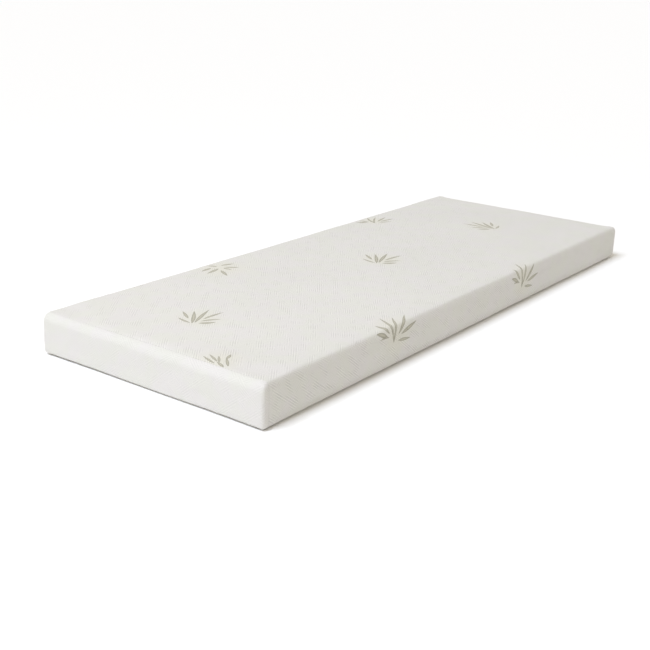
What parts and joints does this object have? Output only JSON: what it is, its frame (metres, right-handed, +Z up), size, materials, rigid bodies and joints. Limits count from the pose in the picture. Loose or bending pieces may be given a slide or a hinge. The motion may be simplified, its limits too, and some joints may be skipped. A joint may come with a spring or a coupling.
{
  "type": "memory foam mattress",
  "caption": "Narrow single foam mattress in a removable pale knitted cover with scattered plant motifs, rounded edges and a zip along one long side.",
  "frame": {"origin": "on the surface that the mattress lies on, under the middle of its length and width", "axes": "+X along its length to the head end, +Y across it to the side with the zip, +Z up"},
  "size_m": [1.905, 0.7143, 0.11],
  "materials": {
    "cover_knit": "matte",
    "leaf_yarn": "matte",
    "support_foam": "matte",
    "memory_foam": "matte",
    "sock_knit": "matte",
    "thread": "matte",
    "zip_tape": "matte",
    "zip_coil": "satin",
    "zip_metal": "satin",
    "label_satin": "satin"
  },
  "bodies": {
    "mattress": {"support_foam_base": "support_foam", "memory_foam_layer": "memory_foam", "inner_sock": "sock_knit", "inner_sock_closing_seam": "thread", "cover_wrap": "cover_knit", "cover_end_panel_head": "cover_knit", "cover_end_panel_foot": "cover_knit", "end_seam_head": "thread", "end_seam_foot": "thread", "zip_tape_upper": "zip_tape", "zip_tape_lower": "zip_tape", "zip_coil_upper": "zip_coil", "zip_coil_lower": "zip_coil", "zip_top_stop_upper": "zip_metal", "zip_top_stop_lower": "zip_metal", "zip_bottom_stop": "zip_metal", "care_label": "label_satin"},
    "slider": {"zip_slider": "zip_metal"},
    "pull": {"zip_pull": "zip_metal"}
  },
  "joints": [
    {"name": "zip_slide", "type": "slide", "parent": "mattress", "child": "slider", "axis": [1, 0, 0], "range_m": [0, 1.664]},
    {"name": "zip_pull_hinge", "type": "hinge", "parent": "slider", "child": "pull", "pos_m": [-0.832, 0.3565, 0.03], "axis": [0, 0, 1], "range_deg": [0, 170]}
  ]
}
